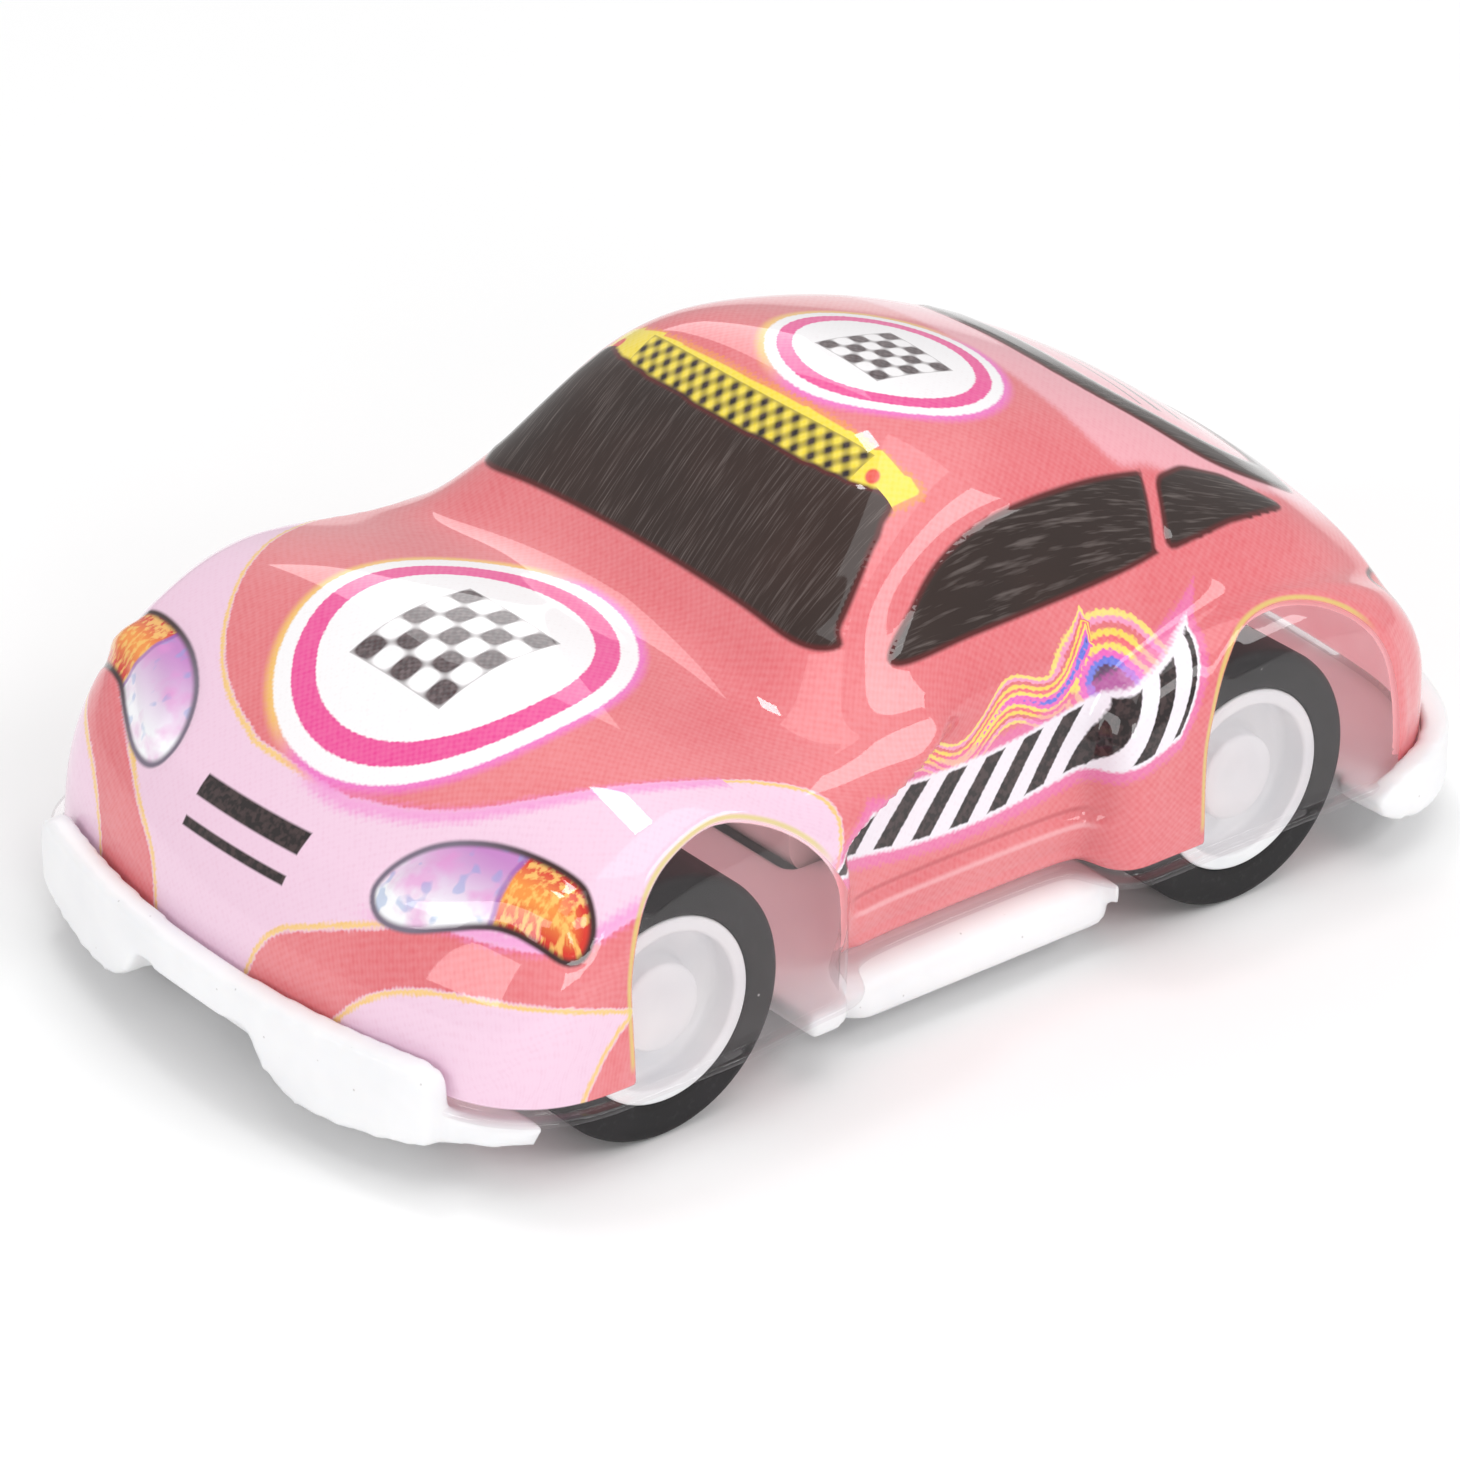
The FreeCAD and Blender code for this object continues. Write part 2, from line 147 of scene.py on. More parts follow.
def cast(base, direction, level=0.0):
    """Points along direction from base, both (..., 3), where body_field equals level."""
    low = np.zeros(base.shape[:-1])
    high = np.full(base.shape[:-1], 70.0)
    for _ in range(26):
        mid = (low + high) / 2
        p = base + direction * mid[..., None]
        inside = body_field(p[..., 0], p[..., 1], p[..., 2]) < level
        low = np.where(inside, mid, low)
        high = np.where(inside, high, mid)
    return base + direction * ((low + high) / 2)[..., None]


def body_normals(p, e=0.03):
    """Outward unit normals of the body at p, from central differences of step e."""
    grads = []
    for axis in range(3):
        d = np.zeros(3)
        d[axis] = e
        a, b = p + d, p - d
        grads.append(body_field(a[..., 0], a[..., 1], a[..., 2])
                     - body_field(b[..., 0], b[..., 1], b[..., 2]))
    n = np.stack(grads, -1)
    return n / np.linalg.norm(n, axis=-1, keepdims=True)


def body_grid(across, along):
    """Body surface points in across rows from side to side and along columns nose to tail."""
    u = np.linspace(-1, 1, across)[:, None]
    v = np.linspace(-1, 1, along)[None, :]
    lean = math.pi / 2 * np.sign(v) * np.abs(v) ** 1.25
    turn = math.pi / 2 * u
    direction = np.stack([np.sin(turn) + 0 * v, np.cos(turn) * np.sin(lean),
                          np.cos(turn) * np.cos(lean)], -1)
    base = np.zeros_like(direction)
    base[..., 1] = (SPINE[0] + SPINE[1]) / 2 + (SPINE[1] - SPINE[0]) / 2 * (v + 0 * u)
    base[..., 2] = FLANGE_TOP
    return cast(base, direction)


STEP_IN = 3
ACROSS = 97 * STEP_IN + 1
ALONG = 91 * STEP_IN + 1
grid = body_grid(ACROSS, ALONG)
grid_n = body_normals(grid)
grid_n[:, 0, 2] = grid_n[:, -1, 2] = grid_n[0, :, 2] = grid_n[-1, :, 2] = 0
grid_n /= np.linalg.norm(grid_n, axis=-1, keepdims=True)
X, Y, Z = grid[..., 0], grid[..., 1], grid[..., 2]

# ---------------------------------------------------------------- print layout
# Outlines are (a, b) pairs in one of three plan views of the body: top (x, y), side (y, z)
# and nose (x, z).  Distances are measured on the surface, in millimetres, below zero inside.
# FAR stands for a place well outside an outline, OFF_SIDE for one away from the car's sides.
VIEWS = {"top": (0, 1), "side": (1, 2), "nose": (0, 2)}
FAR = 9.0
OFF_SIDE = 50.0
MIRROR_OVERLAP = 3


def smooth_loop(points, pieces=7):
    """Rounded closed curve through the points (Catmull-Rom)."""
    p = np.array(points, float)
    count = len(p)
    out = []
    for i in range(count):
        a, b, c, d = p[i - 1], p[i], p[(i + 1) % count], p[(i + 2) % count]
        for t in np.arange(pieces) / pieces:
            out.append(0.5 * (2 * b + (c - a) * t + (2 * a - 5 * b + 4 * c - d) * t * t
                              + (3 * b - a - 3 * c + d) * t ** 3))
    return np.array(out)


def mirrored_loop(points):
    """Rounded loop from its half on the left, both ends on the middle line."""
    other = [(-a, b) for a, b in points[-2:0:-1]]
    return smooth_loop(points + other)


def inside_loop(a, b, loop):
    """True where the plane point (a, b) is within a closed loop."""
    inside = np.zeros(a.shape, bool)
    for (x0, y0), (x1, y1) in zip(loop, np.roll(loop, -1, 0)):
        if y0 == y1:
            continue
        crosses = (b < y0) != (b < y1)
        inside ^= crosses & (a < (x1 - x0) * (b - y0) / (y1 - y0) + x0)
    return inside


def flat_distance(a, b, loop):
    """Signed distance in the plane to a closed loop."""
    best = np.full(a.shape, 1e9)
    for (x0, y0), (x1, y1) in zip(loop, np.roll(loop, -1, 0)):
        ex, ey = x1 - x0, y1 - y0
        length = ex * ex + ey * ey
        if length < 1e-12:
            continue
        t = np.clip(((a - x0) * ex + (b - y0) * ey) / length, 0, 1)
        best = np.minimum(best, (a - x0 - ex * t) ** 2 + (b - y0 - ey * t) ** 2)
    return np.sqrt(best) * np.where(inside_loop(a, b, loop), -1, 1)


def lift(loop, ia, ib, pts):
    """Loop points moved onto the body along the view's third axis."""
    third = 3 - ia - ib
    far_side = 45.0 * np.sign(np.median(pts[:, third]) + 1e-6)
    low = np.zeros((len(loop), 3))
    low[:, ia], low[:, ib], low[:, third] = loop[:, 0], loop[:, 1], far_side
    high = low.copy()
    high[:, third] = FLANGE_TOP if third == 2 else 0.0
    missed = body_field(*high.T) > 0
    for _ in range(24):
        mid = (low + high) / 2
        outside = (body_field(*mid.T) > 0)[:, None]
        low, high = np.where(outside, mid, low), np.where(outside, high, mid)
    for i in np.flatnonzero(missed):
        nearest = np.argmin((pts[:, ia] - loop[i, 0]) ** 2 + (pts[:, ib] - loop[i, 1]) ** 2)
        low[i, third] = pts[nearest, third]
    return low


def region(view, loop, where):
    """Signed surface distance to a loop drawn in a plan view, on the part of the body in where."""
    ia, ib = VIEWS[view]
    a, b = grid[..., ia], grid[..., ib]
    out = np.full(a.shape, FAR)
    low, high = loop.min(0) - 5, loop.max(0) + 5
    near = where & (a > low[0]) & (a < high[0]) & (b > low[1]) & (b < high[1])
    if not near.any():
        return out
    pts, pa, pb = grid[near], a[near], b[near]
    if view == "side":
        pts = np.abs(pts) * np.array([1, 0, 0]) + pts * np.array([0, 1, 1])
    lifted = lift(loop, ia, ib, pts)
    best = np.full(len(pts), 1e9)
    for p0, p1 in zip(lifted, np.roll(lifted, -1, 0)):
        e = p1 - p0
        length = e @ e
        if length < 1e-12:
            continue
        t = np.clip((pts - p0) @ e / length, 0, 1)
        best = np.minimum(best, ((pts - p0 - t[:, None] * e) ** 2).sum(1))
    out[near] = np.sqrt(best) * np.where(inside_loop(pa, pb, loop), -1, 1)
    return out


def both_sides(view, points, where):
    """Distance to a rounded loop on the left and to its mirror image on the right."""
    loop = smooth_loop(points)
    other = loop * np.array([-1, 1])
    return np.minimum(region(view, loop, where & (X > -MIRROR_OVERLAP)),
                      region(view, other, where & (X < MIRROR_OVERLAP)))


def corner_loop(points, radius=0.5, pieces=5):
    """Straight-sided loop with small round corners."""
    p = np.array(points, float)
    out = []
    for i in range(len(p)):
        a, b, c = p[i - 1], p[i], p[(i + 1) % len(p)]
        ab, cb = a - b, c - b
        ra = min(radius, np.linalg.norm(ab) / 2)
        rc = min(radius, np.linalg.norm(cb) / 2)
        s, e = b + ab / np.linalg.norm(ab) * ra, b + cb / np.linalg.norm(cb) * rc
        for t in np.linspace(0, 1, pieces):
            out.append((1 - t) ** 2 * s + 2 * t * (1 - t) * b + t * t * e)
    return np.array(out)


upper = Z > 15
sides = (np.abs(X) > 9) & (Z > FLANGE_TOP - 1)
front = Y < 2

# Glass: windscreen, two side windows each side, rear window.
screen = region("nose", smooth_loop([(-15.6, 22.4), (-10, 23.1), (0, 23.4), (10, 23.1),
                                     (15.6, 22.4), (15.3, 23.4), (14.1, 26.2), (13.0, 28.4),
                                     (12.5, 28.7), (8, 29.1), (0, 29.3), (-8, 29.1),
                                     (-12.5, 28.7), (-13.0, 28.4), (-14.1, 26.2),
                                     (-15.3, 23.4)]), front & (Z > 18) & (Y < 3.5))
door_glass = region("side", smooth_loop([(-1.7, 21.3), (4, 21.25), (11, 21.35), (17.9, 21.6),
                                         (18.4, 22.0), (19.5, 24.9), (19.3, 25.3), (15, 26.3),
                                         (10, 26.75), (6, 26.5), (3, 25.4), (0.6, 23.5)]), sides)
quarter_glass = region("side", corner_loop([(19.3, 21.5), (20.7, 24.6), (23.5, 24.1), (27, 22.4),
                                            (30.5, 19.9), (25, 21.2)], 0.7), sides)
rear_out = region("top", mirrored_loop([(0, 20.3), (5, 20.6), (9, 22.3), (11.6, 25.5), (12.6, 29.5),
                                        (11.9, 33.2), (10, 34.8), (5, 35.6), (0, 35.8)]),
                  upper & (Y > 12))
rear_in = region("top", mirrored_loop([(0, 22.9), (4.5, 23.2), (7.6, 24.6), (9.6, 27.2), (10.2, 30),
                                       (9.6, 32.2), (8.2, 33.2), (4, 33.8), (0, 33.9)]),
                 upper & (Y > 12))
rear_glass = np.maximum(rear_out, -rear_in)
glass = np.minimum.reduce([screen, door_glass, quarter_glass, rear_glass])

# Sun strip over the windscreen.
strip = region("top", corner_loop([(-12.6, 0.6), (-6, -0.2), (0, -0.4), (6, -0.2), (12.9, 0.7),
                                   (13.5, 3.8), (7, 2.9), (0, 2.4), (-6, 2.6), (-12.8, 3.6)], 0.4),
               upper & (Y > -4) & (Y < 8))

# Wheel windows, left clear of print.
arch_front = region("side", smooth_loop([(-24.3, 4.0), (-24.5, 9), (-24.4, 12.4), (-23.4, 15.2),
                                         (-21.6, 17.1), (-19, 18.2), (-16.6, 18.3), (-14.0, 17.3),
                                         (-11.8, 15.7), (-10.2, 13.8), (-8.8, 11.6), (-7.6, 9),
                                         (-7.0, 5), (-7.0, 3), (-24, 3)]), sides)
arch_rear = region("side", smooth_loop([(17.6, 4.0), (17.4, 9), (17.6, 12.6), (18.6, 15.4),
                                        (20.6, 17.2), (23, 17.9), (25.8, 17.8), (28.4, 16.8),
                                        (30.6, 14.8), (32, 12), (32.8, 8.5), (33, 5), (33, 3),
                                        (17.8, 3)]), sides)
clear = np.minimum(arch_front, arch_rear)

# Camouflage swooshes: pale front wings and nose, coral elsewhere.
middle = ACROSS // 2
crest_z = np.interp(Y, Y[middle], Z[middle])
fold = np.abs(X) + np.maximum(crest_z - Z, 0)
pale_loop = smooth_loop([(-30, -29.2), (0, -29.4), (6, -28.9), (12, -26.7), (17, -22.8),
                         (20.5, -18.4), (22.6, -14), (24, -11.2), (25.6, -9.6), (27.5, -9.0),
                         (29.4, -9.2), (31, -9.6), (38, -10), (60, -12), (60, -60), (-30, -60)])
pale = flat_distance(fold, Y, pale_loop)
front_y = -35.8 + 0.008 * X * X
girth = np.abs(X) + np.maximum(Y - front_y, 0)
lobe_left = flat_distance(girth, Z, smooth_loop([(2.6, 4), (3.4, 7.4), (5.4, 9.8), (9, 11.2),
                                                 (13, 12.4), (17, 13.6), (22, 13.9), (27, 14.2),
                                                 (33, 15.4), (33, 9.6), (30, 10.4), (26, 11.3),
                                                 (21, 11.4), (16, 10.6), (12.4, 9), (9.4, 6.2),
                                                 (8.4, 4)]))
lobe_low = flat_distance(girth, Z, smooth_loop([(26.6, 4), (28.4, 7.6), (31.4, 10.6), (36, 12),
                                                (36, 2), (26.6, 2)]))
lobe_right = flat_distance(girth, Z, smooth_loop([(5.6, 3), (6.6, 7), (8.4, 9.4), (12, 11.2),
                                                  (17, 13.2), (23, 14.8), (33, 15.8), (33, 13),
                                                  (24, 12.6), (18, 11), (14.4, 8.6), (13, 6),
                                                  (12.6, 3)]))
lobes = np.where(X > 0, np.minimum(lobe_left, lobe_low), lobe_right)
lobes = np.where((Z < 17) & (Y < -14), lobes, FAR)
coral = np.minimum(-pale, lobes)

# Lighter swooshes over the roof sides and the tail.
tail_swoosh = flat_distance(Y, Z, smooth_loop([(24, 30), (31, 20.4), (36, 16.8), (42, 15),
                                               (44, 22), (36, 30)]))
rear_panel = region("top", smooth_loop([(-13, 17.4), (0, 16.6), (12.5, 17.2), (13.6, 21),
                                        (13.8, 27), (13.0, 34), (10, 38.4), (0, 39.4),
                                        (-10, 38.4), (-13.6, 34), (-14, 27), (-13.8, 21)]),
                    upper & (Y > 8))

# Side swirl above the door stripes: a ring with a waving tail.
base_z = 10.6 + 0.0150 * (Y - 2) ** 2 * (Y < 2) + 0.0140 * (Y - 2) ** 2 * (Y >= 2)
rise = Z - base_z
on_side = (Z < 21.5) & (np.abs(X) > 9) & (Y > -15) & (Y < 26)
swirl_ring = np.abs(np.hypot(Y - 12.6, (Z - 16.4) * 1.1) - 0.2)
tail_middle = 5.2 + 0.9 * np.sin((Y + 3.2) * 0.9) + 0.13 * (Y - 4)
swirl_tail = np.abs(rise - tail_middle) * 1.9 + 0.10 * (12 - Y) + 0.6
swirl = np.where(Y < 12, np.minimum(swirl_tail, swirl_ring), swirl_ring)
swirl = np.where(on_side & (rise > 3.0) & (Y > -4), swirl, FAR)

# Headlamps, slightly domed.
LAMP = [(9.8, -31.7), (10.1, -30.2), (11.6, -28.5), (14.2, -27.0), (17.2, -26.0), (20.2, -25.5),
        (22.0, -25.9), (22.5, -26.9), (21.9, -28.0), (20.2, -28.8), (18, -29.5), (15.8, -30.7),
        (13.2, -31.9), (11, -32.3)]
lamp = both_sides("top", LAMP, front & (Y < -20) & (Z > 9))
lamp_along = (np.abs(X) - 17.4) + 0.35 * (Z - 15)
tail_lamp = region("nose", smooth_loop([(15.2, 12.0), (16.0, 14.4), (17.8, 15.4), (19.6, 14.6),
                                        (20.2, 12.2), (18.6, 11.2), (16.4, 11.2)]),
                   (Y > 30) & (X > 0))
tail_lamp = np.minimum(tail_lamp, tail_lamp[::-1])

# ---------------------------------------------------------------- moulded relief
RIPPLE = 0.028
LAMP_DOME = 0.42
GLASS_STEP = 0.10
ARCH_BEAD = 0.14
EDGE_FADE = 1.2
rng = np.random.default_rng(7)
ripple = np.zeros(X.shape)
for _ in range(10):
    k = rng.normal(0, 0.35, 3)
    ripple += np.sin(grid @ k + rng.uniform(0, 6.28)) * 0.1
relief = RIPPLE * ripple
relief += LAMP_DOME * step(0.15, 1.9, -lamp) - 0.10 * np.exp(-(lamp / 0.3) ** 2)
relief += GLASS_STEP * step(-0.5, 0.4, -glass) - 0.05 * np.exp(-(glass / 0.25) ** 2)
sill = step(-7.5, -5.5, Y) * step(12.0, 10.5, Y) * (np.abs(X) > 15)
relief += (0.45 * step(9.0, 8.3, Z) + 0.2 * step(6.9, 6.4, Z)) * sill
relief += ARCH_BEAD * np.exp(-((clear - 0.5) / 0.55) ** 2) * step(5.4, 7.5, Z)
edge_fade = step(FLANGE_TOP, FLANGE_TOP + EDGE_FADE, Z)
shell_out = grid + grid_n * (relief * edge_fade)[..., None]

# ---------------------------------------------------------------- mesh helpers
def srgb(r, g, b):
    """Screen colour, 0 to 255 a channel, as a linear colour with alpha 1."""
    out = []
    for c in (r, g, b):
        c /= 255.0
        out.append(c / 12.92 if c <= 0.04045 else ((c + 0.055) / 1.055) ** 2.4)
    return tuple(out) + (1.0,)


def make_object(name, verts, faces, material, body):
    """Smooth-shaded mesh from millimetre points, riding on a body of the frame."""
    mesh = bpy.data.meshes.new(name)
    mesh.from_pydata([tuple(v) for v in place(verts)], [], faces)
    mesh.validate()
    mesh.polygons.foreach_set("use_smooth", [True] * len(mesh.polygons))
    mesh.update()
    obj = bpy.data.objects.new(name, mesh)
    bpy.context.scene.collection.objects.link(obj)
    for m in material if isinstance(material, list) else [material]:
        mesh.materials.append(m)
    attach(obj, body)
    return obj


def revolve(name, profile, y, material, body, side, steps=128):
    """Closed (x, radius) outline turned about the wheel axis at y; side -1 mirrors it."""
    profile = np.array(profile, float)
    on_axis = profile[:, 1] < 1e-6
    verts, index = [], []
    for x, r in profile:
        if r < 1e-6:
            index.append([len(verts)] * steps)
            verts.append((x * side, y, AXLE_Z))
            continue
        ring = []
        for k in range(steps):
            a = 2 * math.pi * k / steps
            ring.append(len(verts))
            verts.append((x * side, y + r * math.cos(a), AXLE_Z + r * math.sin(a)))
        index.append(ring)
    faces = []
    count = len(profile)
    for i in range(count):
        j = (i + 1) % count
        if on_axis[i] and on_axis[j]:
            continue
        for k in range(steps):
            n = (k + 1) % steps
            quad = [index[i][k], index[i][n], index[j][n], index[j][k]]
            quad = [q for m, q in enumerate(quad) if q not in quad[:m]]
            faces.append(quad if side > 0 else quad[::-1])
    return make_object(name, verts, faces, material, body)


# ---------------------------------------------------------------- node helpers
class Value:
    """A number in a material's node tree; arithmetic on it adds Math nodes."""

    def __init__(self, tree, socket):
        self.tree = tree
        self.socket = socket

    def op(self, name, *others):
        """Math node of the given operation on this value and the others."""
        node = self.tree.nodes.new("ShaderNodeMath")
        node.operation = name
        for value, entry in zip((self,) + others, node.inputs):
            if isinstance(value, Value):
                self.tree.links.new(value.socket, entry)
            else:
                entry.default_value = value
        return Value(self.tree, node.outputs[0])

    def __add__(self, other):
        return self.op("ADD", other)

    def __sub__(self, other):
        return self.op("SUBTRACT", other)

    def __mul__(self, other):
        return self.op("MULTIPLY", other)

    def __truediv__(self, other):
        return self.op("DIVIDE", other)

    def __neg__(self):
        return self.op("MULTIPLY", -1.0)

    def __abs__(self):
        return self.op("ABSOLUTE")

    def __mod__(self, other):
        return self.op("FLOORED_MODULO", other)

    def __rsub__(self, other):
        return self * -1.0 + other

    __radd__ = __add__
    __rmul__ = __mul__

    def min(self, *others):
        out = self
        for other in others:
            out = out.op("MINIMUM", other)
        return out

    def max(self, *others):
        out = self
        for other in others:
            out = out.op("MAXIMUM", other)
        return out

    def below(self, edge=0.0, soft=0.06):
        """1 where the value is under edge, 0 above it, with a soft step between."""
        return self.span(edge + soft, edge - soft, 0.0, 1.0, "SMOOTHSTEP")

    def span(self, a, b, c, d, kind="LINEAR"):
        """The value carried from the range a..b to c..d, held at its ends."""
        node = self.tree.nodes.new("ShaderNodeMapRange")
        node.interpolation_type = kind
        self.tree.links.new(self.socket, node.inputs["Value"])
        for value, key in ((a, "From Min"), (b, "From Max"), (c, "To Min"), (d, "To Max")):
            node.inputs[key].default_value = value
        return Value(self.tree, node.outputs["Result"])


def hypot(a, b):
    """Length of the vector (a, b)."""
    return (a * a + b * b).op("SQRT")


# Colour sockets of the Mix node, which shares its socket names between data types.
MIX_COLOUR_A, MIX_COLOUR_B, MIX_COLOUR_OUT = 6, 7, 2


class Nodes:
    """Small builder for a material's node tree."""

    def __init__(self, name):
        self.material = bpy.data.materials.new(name)
        self.material.use_nodes = True
        self.tree = self.material.node_tree
        self.tree.nodes.clear()
        self.out = self.tree.nodes.new("ShaderNodeOutputMaterial")
        self.pos = self.tree.nodes.new("ShaderNodeTexCoord").outputs["Object"]

    def link(self, value, entry):
        """Feed a socket, a Value or a plain number or colour into a node's input."""
        if isinstance(value, Value):
            value = value.socket
        if isinstance(value, bpy.types.NodeSocket):
            self.tree.links.new(value, entry)
        else:
            entry.default_value = value

    def value(self, socket):
        return Value(self.tree, socket)

    def millimetres(self):
        """x, y and z of the surface point, in the millimetres of the shape code."""
        split = self.tree.nodes.new("ShaderNodeSeparateXYZ")
        self.link(self.pos, split.inputs[0])
        x, y, z = (self.value(s) * (1 / MM) for s in split.outputs)
        return x, y - shift_y, z

    def attribute(self, name):
        """One of the shell mesh's layers."""
        node = self.tree.nodes.new("ShaderNodeAttribute")
        node.attribute_name = name
        return self.value(node.outputs["Fac"])

    def mix(self, factor, a, b):
        """Colour a where factor is 0, b where it is 1."""
        node = self.tree.nodes.new("ShaderNodeMix")
        node.data_type = "RGBA"
        self.link(factor, node.inputs["Factor"])
        self.link(a, node.inputs[MIX_COLOUR_A])
        self.link(b, node.inputs[MIX_COLOUR_B])
        return node.outputs[MIX_COLOUR_OUT]

    def noise(self, scale, detail=2.0, rough=0.5, stretch=(1, 1, 1), turn=(0, 0, 0)):
        """Noise in object space; scale is in cells per metre."""
        place_node = self.tree.nodes.new("ShaderNodeMapping")
        place_node.inputs["Scale"].default_value = stretch
        place_node.inputs["Rotation"].default_value = turn
        self.link(self.pos, place_node.inputs["Vector"])
        node = self.tree.nodes.new("ShaderNodeTexNoise")
        node.inputs["Scale"].default_value = scale
        node.inputs["Detail"].default_value = detail
        node.inputs["Roughness"].default_value = rough
        self.link(place_node.outputs[0], node.inputs["Vector"])
        return self.value(node.outputs["Fac"])

    def specks(self, scale, size):
        """1 inside sparse small dots."""
        node = self.tree.nodes.new("ShaderNodeTexVoronoi")
        node.inputs["Scale"].default_value = scale
        self.link(self.pos, node.inputs["Vector"])
        return self.value(node.outputs["Distance"]).below(size, size * 0.35)

    def bump(self, height, strength, distance):
        """Normal from a height; distance is in metres."""
        node = self.tree.nodes.new("ShaderNodeBump")
        node.inputs["Strength"].default_value = strength
        node.inputs["Distance"].default_value = distance
        self.link(height, node.inputs["Height"])
        return node.outputs[0]

    def principled(self, **inputs):
        """Principled shader; an input's spaces are written as underscores."""
        node = self.tree.nodes.new("ShaderNodeBsdfPrincipled")
        for key, value in inputs.items():
            self.link(value, node.inputs[key.replace("_", " ")])
        return node.outputs[0]

    def blend(self, factor, a, b):
        """Shader a where factor is 0, b where it is 1."""
        node = self.tree.nodes.new("ShaderNodeMixShader")
        self.link(factor, node.inputs[0])
        self.link(a, node.inputs[1])
        self.link(b, node.inputs[2])
        return node.outputs[0]

    def finish(self, shader):
        """Wire the shader to the output and hand back the material."""
        self.tree.links.new(shader, self.out.inputs["Surface"])
        return self.material


WHITE = srgb(250, 249, 250)
CORAL = srgb(224, 98, 105)
CORAL_LIGHT = srgb(231, 118, 123)
PALE = srgb(241, 204, 226)
LIGHT = srgb(246, 176, 188)
YELLOW = srgb(246, 200, 84)
MAGENTA = srgb(238, 104, 200)
HOT_PINK = srgb(236, 52, 146)
STRIP = srgb(246, 222, 40)
INK = srgb(34, 24, 25)
GLASS = srgb(40, 23, 17)
GLASS_EDGE = srgb(88, 18, 18)

HALFTONE = 0.50
# Swirl bands, widest first: reach from the middle of the line, and colour.
SWIRL_BANDS = ((4.0, srgb(246, 220, 110)), (3.65, srgb(244, 150, 190)), (3.3, CORAL),
               (2.9, srgb(250, 214, 70)), (2.5, srgb(240, 96, 110)), (2.1, srgb(246, 222, 90)),
               (1.7, srgb(238, 90, 190)), (1.25, srgb(84, 110, 225)), (0.8, srgb(70, 26, 84)))
# Roundels on bonnet and roof: centre x and y, and size.
ROUNDELS = ((0.7, -19.3, 1.05), (2.7, 9.9, 0.70))
BOARD_CELL = 1.6
STRIPE_PITCH = 2.8
STRIP_CELL = 0.66
HEATER_PITCH = 1.6


def chequer(a, b, cell):
    """Below zero on the dark squares of a board with one square centred on the origin."""
    across = abs((a % (2 * cell)) - cell) - cell / 2
    along = abs((b % (2 * cell)) - cell) - cell / 2
    return -(across * along)


def roundel(x, y, cx, cy, size):
    """Plain ringed disc with a chequered middle, drawn for a radius of 10 and scaled by size."""
    a = (x - cx) / size
    b = (y - cy) / size
    radius = hypot(a / 1.04, b / 0.94)
    board = chequer(a, b, BOARD_CELL).max(abs(a) - BOARD_CELL * 2.5, abs(b) - BOARD_CELL * 2.5)
    return {"disc": (radius - 10.0) * size, "side": (a + 3.0) * size,
            "ring": (abs(radius - 8.3) - 0.7) * size, "board": board * size}


def door_stripes(y, rise):
    """Even slanted stripes along the doors, and the plain band that they lie on."""
    slant = y - rise * 0.9
    band = (abs(slant - 2.6) - 12.6).max(abs(rise - 1.9) - 1.7)
    stripes = (abs((slant % STRIPE_PITCH) - STRIPE_PITCH / 2) - STRIPE_PITCH / 4).max(band)
    return stripes, band


